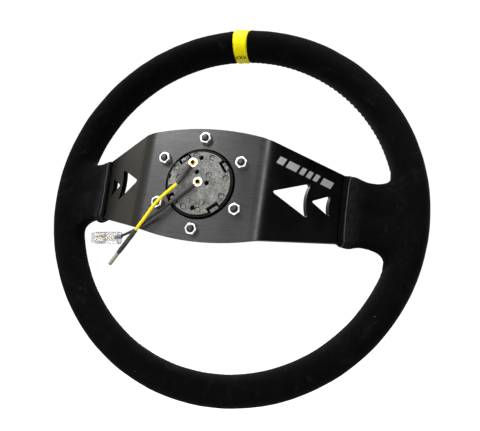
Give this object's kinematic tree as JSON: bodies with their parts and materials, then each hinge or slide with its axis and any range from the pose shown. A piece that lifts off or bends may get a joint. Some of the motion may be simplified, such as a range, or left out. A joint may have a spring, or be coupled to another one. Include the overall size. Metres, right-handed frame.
{
  "type": "steering wheel",
  "caption": "Two-spoke deep-dish suede steering wheel with a bent spoke plate, horn button and horn leads, bolted to a hub adapter.",
  "frame": {"origin": "centre of the bolt circle, in the plane of the hub nuts' outer faces", "axes": "+Y along the wheel's axis towards the steering column, +Z towards the 12 o'clock marker, driver at -Y"},
  "size_m": [0.346, 0.0968, 0.3465],
  "materials": {
    "plate": "brushed then black anodised",
    "armature": "plain steel",
    "rivet": "plain aluminium",
    "foam": "moulded polyurethane foam",
    "suede": "black suede, napped",
    "marker": "yellow leather band",
    "piping": "black covered cord",
    "bolt": "black oxide steel",
    "nut": "bright zinc plated",
    "ring": "black anodised aluminium",
    "housing": "black moulded plastic",
    "base": "pale grey moulded plastic",
    "spring_steel": "bright spring steel",
    "bezel": "polished black",
    "cap": "satin black plastic",
    "badge": "plain spun aluminium",
    "contact_steel": "plated steel",
    "brass": "plain brass",
    "tinned": "tin plated",
    "boot": "grey-black insulating sleeve",
    "yellow_insulation": "yellow wire insulation",
    "black_insulation": "black wire insulation",
    "sleeve": "black heat-shrink sleeve",
    "tinned_copper": "tinned strands",
    "clear_housing": "clear soft plastic"
  },
  "bodies": {
    "wheel": {"spoke_plate": "plate", "rim_armature": "armature", "armature_tabs": "armature", "armature_rivets": "rivet", "grip_foam": "foam", "suede_upper_left": "suede", "suede_upper_right": "suede", "suede_lower": "suede", "marker_band": "marker", "spoke_collar_left": "suede", "spoke_collar_right": "suede", "collar_piping": "piping", "hub_bolts": "bolt", "hub_nuts": "nut", "horn_ring": "ring", "horn_housing": "housing", "horn_base": "base", "base_stakes": "base", "retaining_clips": "spring_steel", "horn_bezel": "bezel", "lower_contact": "brass", "horn_springs": "spring_steel", "terminal_signal": "tinned", "terminal_ground": "tinned", "terminal_eyelets": "brass", "boot_signal": "boot", "boot_ground": "boot", "yellow_wire": "yellow_insulation", "black_wire": "black_insulation", "end_sleeve": "sleeve", "tinned_end": "tinned_copper", "connector_housing": "clear_housing", "spade_terminal": "tinned"},
    "horn_button": {"horn_cap": "cap", "cap_badge": "badge", "upper_contact": "contact_steel"}
  },
  "joints": [
    {"name": "horn_press", "type": "slide", "parent": "wheel", "child": "horn_button", "axis": [0, 1, 0], "range_m": [0, 0.001], "stiffness_N_per_m": 6000, "springref_m": -0.0008, "deforming": ["horn_springs"]}
  ]
}
